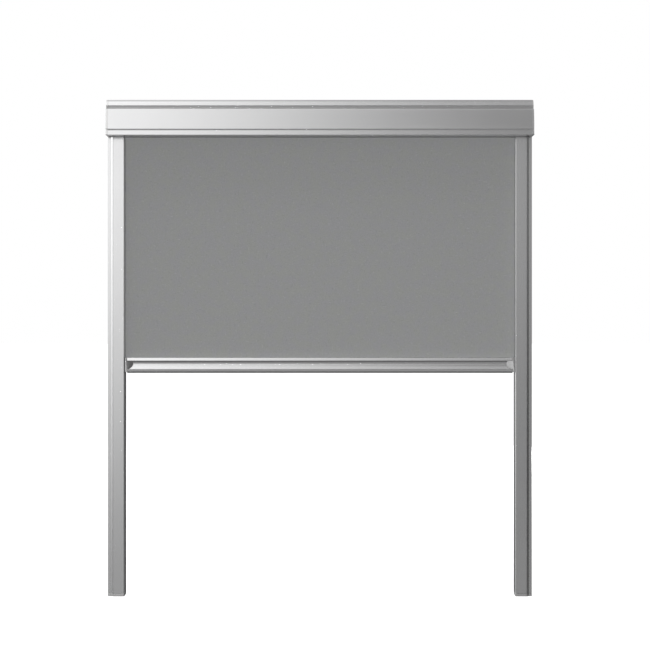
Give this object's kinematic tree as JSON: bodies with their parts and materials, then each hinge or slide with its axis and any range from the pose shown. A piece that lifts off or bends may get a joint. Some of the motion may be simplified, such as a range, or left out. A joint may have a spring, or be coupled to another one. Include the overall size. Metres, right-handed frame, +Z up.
{
  "type": "roller blind",
  "caption": "Roof-window roller blind: aluminium casing with spring roller, two side channels, blackout fabric and a bottom bar that slides.",
  "frame": {"origin": "centre of the casing's flat back face", "axes": "+X to the viewer's right along the casing, -Y towards the room, +Z up along the side channels"},
  "size_m": [0.61, 0.0465, 0.7121],
  "materials": {
    "satin_aluminium": "satin anodised",
    "blackout_fabric": "fine matt weave",
    "grey_plastic": "moulded, matt",
    "silver_plastic": "silver painted",
    "dark_plastic": "moulded, matt",
    "steel": "zinc plated",
    "brush_pile": "dense pile",
    "black_rubber": "matt"
  },
  "bodies": {
    "frame": {"casing_rear": "satin_aluminium", "casing_front": "satin_aluminium", "casing_brush_seal": "brush_pile", "end_cap_left": "silver_plastic", "end_cap_right": "silver_plastic", "mounting_bracket_left": "steel", "mounting_bracket_right": "steel", "end_cap_screw_left_upper": "steel", "end_cap_screw_left_lower": "steel", "end_cap_screw_right_upper": "steel", "end_cap_screw_right_lower": "steel", "spring_shaft": "steel", "spring_anchor": "dark_plastic", "channel_base_left": "satin_aluminium", "channel_base_right": "satin_aluminium", "channel_cover_left": "satin_aluminium", "channel_cover_right": "satin_aluminium", "channel_brush_front_left": "brush_pile", "channel_brush_front_right": "brush_pile", "channel_brush_rear_left": "brush_pile", "channel_brush_rear_right": "brush_pile", "channel_end_cap_left": "silver_plastic", "channel_end_cap_right": "silver_plastic", "channel_end_screw_left": "steel", "channel_end_screw_right": "steel", "bar_stop_left": "black_rubber", "bar_stop_right": "black_rubber"},
    "roller": {"roller_tube": "satin_aluminium", "tube_spline": "grey_plastic", "fabric_roll": "blackout_fabric", "bearing_plug": "dark_plastic", "spring_drive_plug": "dark_plastic", "torsion_spring": "steel", "idle_plug": "dark_plastic", "idle_spring_cap": "dark_plastic", "idle_pin_spring": "steel"},
    "idle_pin": {"idle_pin": "steel"},
    "bottom_bar": {"bar_profile": "satin_aluminium", "bar_fabric_keder": "dark_plastic", "bar_bottom_seal": "black_rubber", "fabric_sheet": "blackout_fabric", "bar_end_cap_left": "grey_plastic", "bar_end_cap_right": "grey_plastic", "bar_cap_screw_left": "steel", "bar_cap_screw_right": "steel", "slide_left": "dark_plastic", "slide_right": "dark_plastic", "slide_spring_left": "steel", "slide_spring_right": "steel", "friction_pad_left": "brush_pile", "friction_pad_right": "brush_pile"}
  },
  "joints": [
    {"name": "bar_slide", "type": "slide", "parent": "frame", "child": "bottom_bar", "axis": [0, 0, -1], "range_m": [-0.312, 0.312], "deforming": ["fabric_sheet"]},
    {"name": "roller_spin", "type": "hinge", "parent": "frame", "child": "roller", "pos_m": [0, -0.02475, 0.001], "axis": [1, 0, 0], "range_deg": [-1305, 1305]},
    {"name": "idle_pin_slide", "type": "slide", "parent": "roller", "child": "idle_pin", "axis": [1, 0, 0], "range_m": [0, 0.0034], "stiffness_N_per_m": 500, "springref_m": -0.006, "deforming": ["idle_pin_spring"]}
  ],
  "couplings": [
    {"joint": "roller_spin", "follows": "bar_slide", "rad_per_m": -72.727}
  ]
}
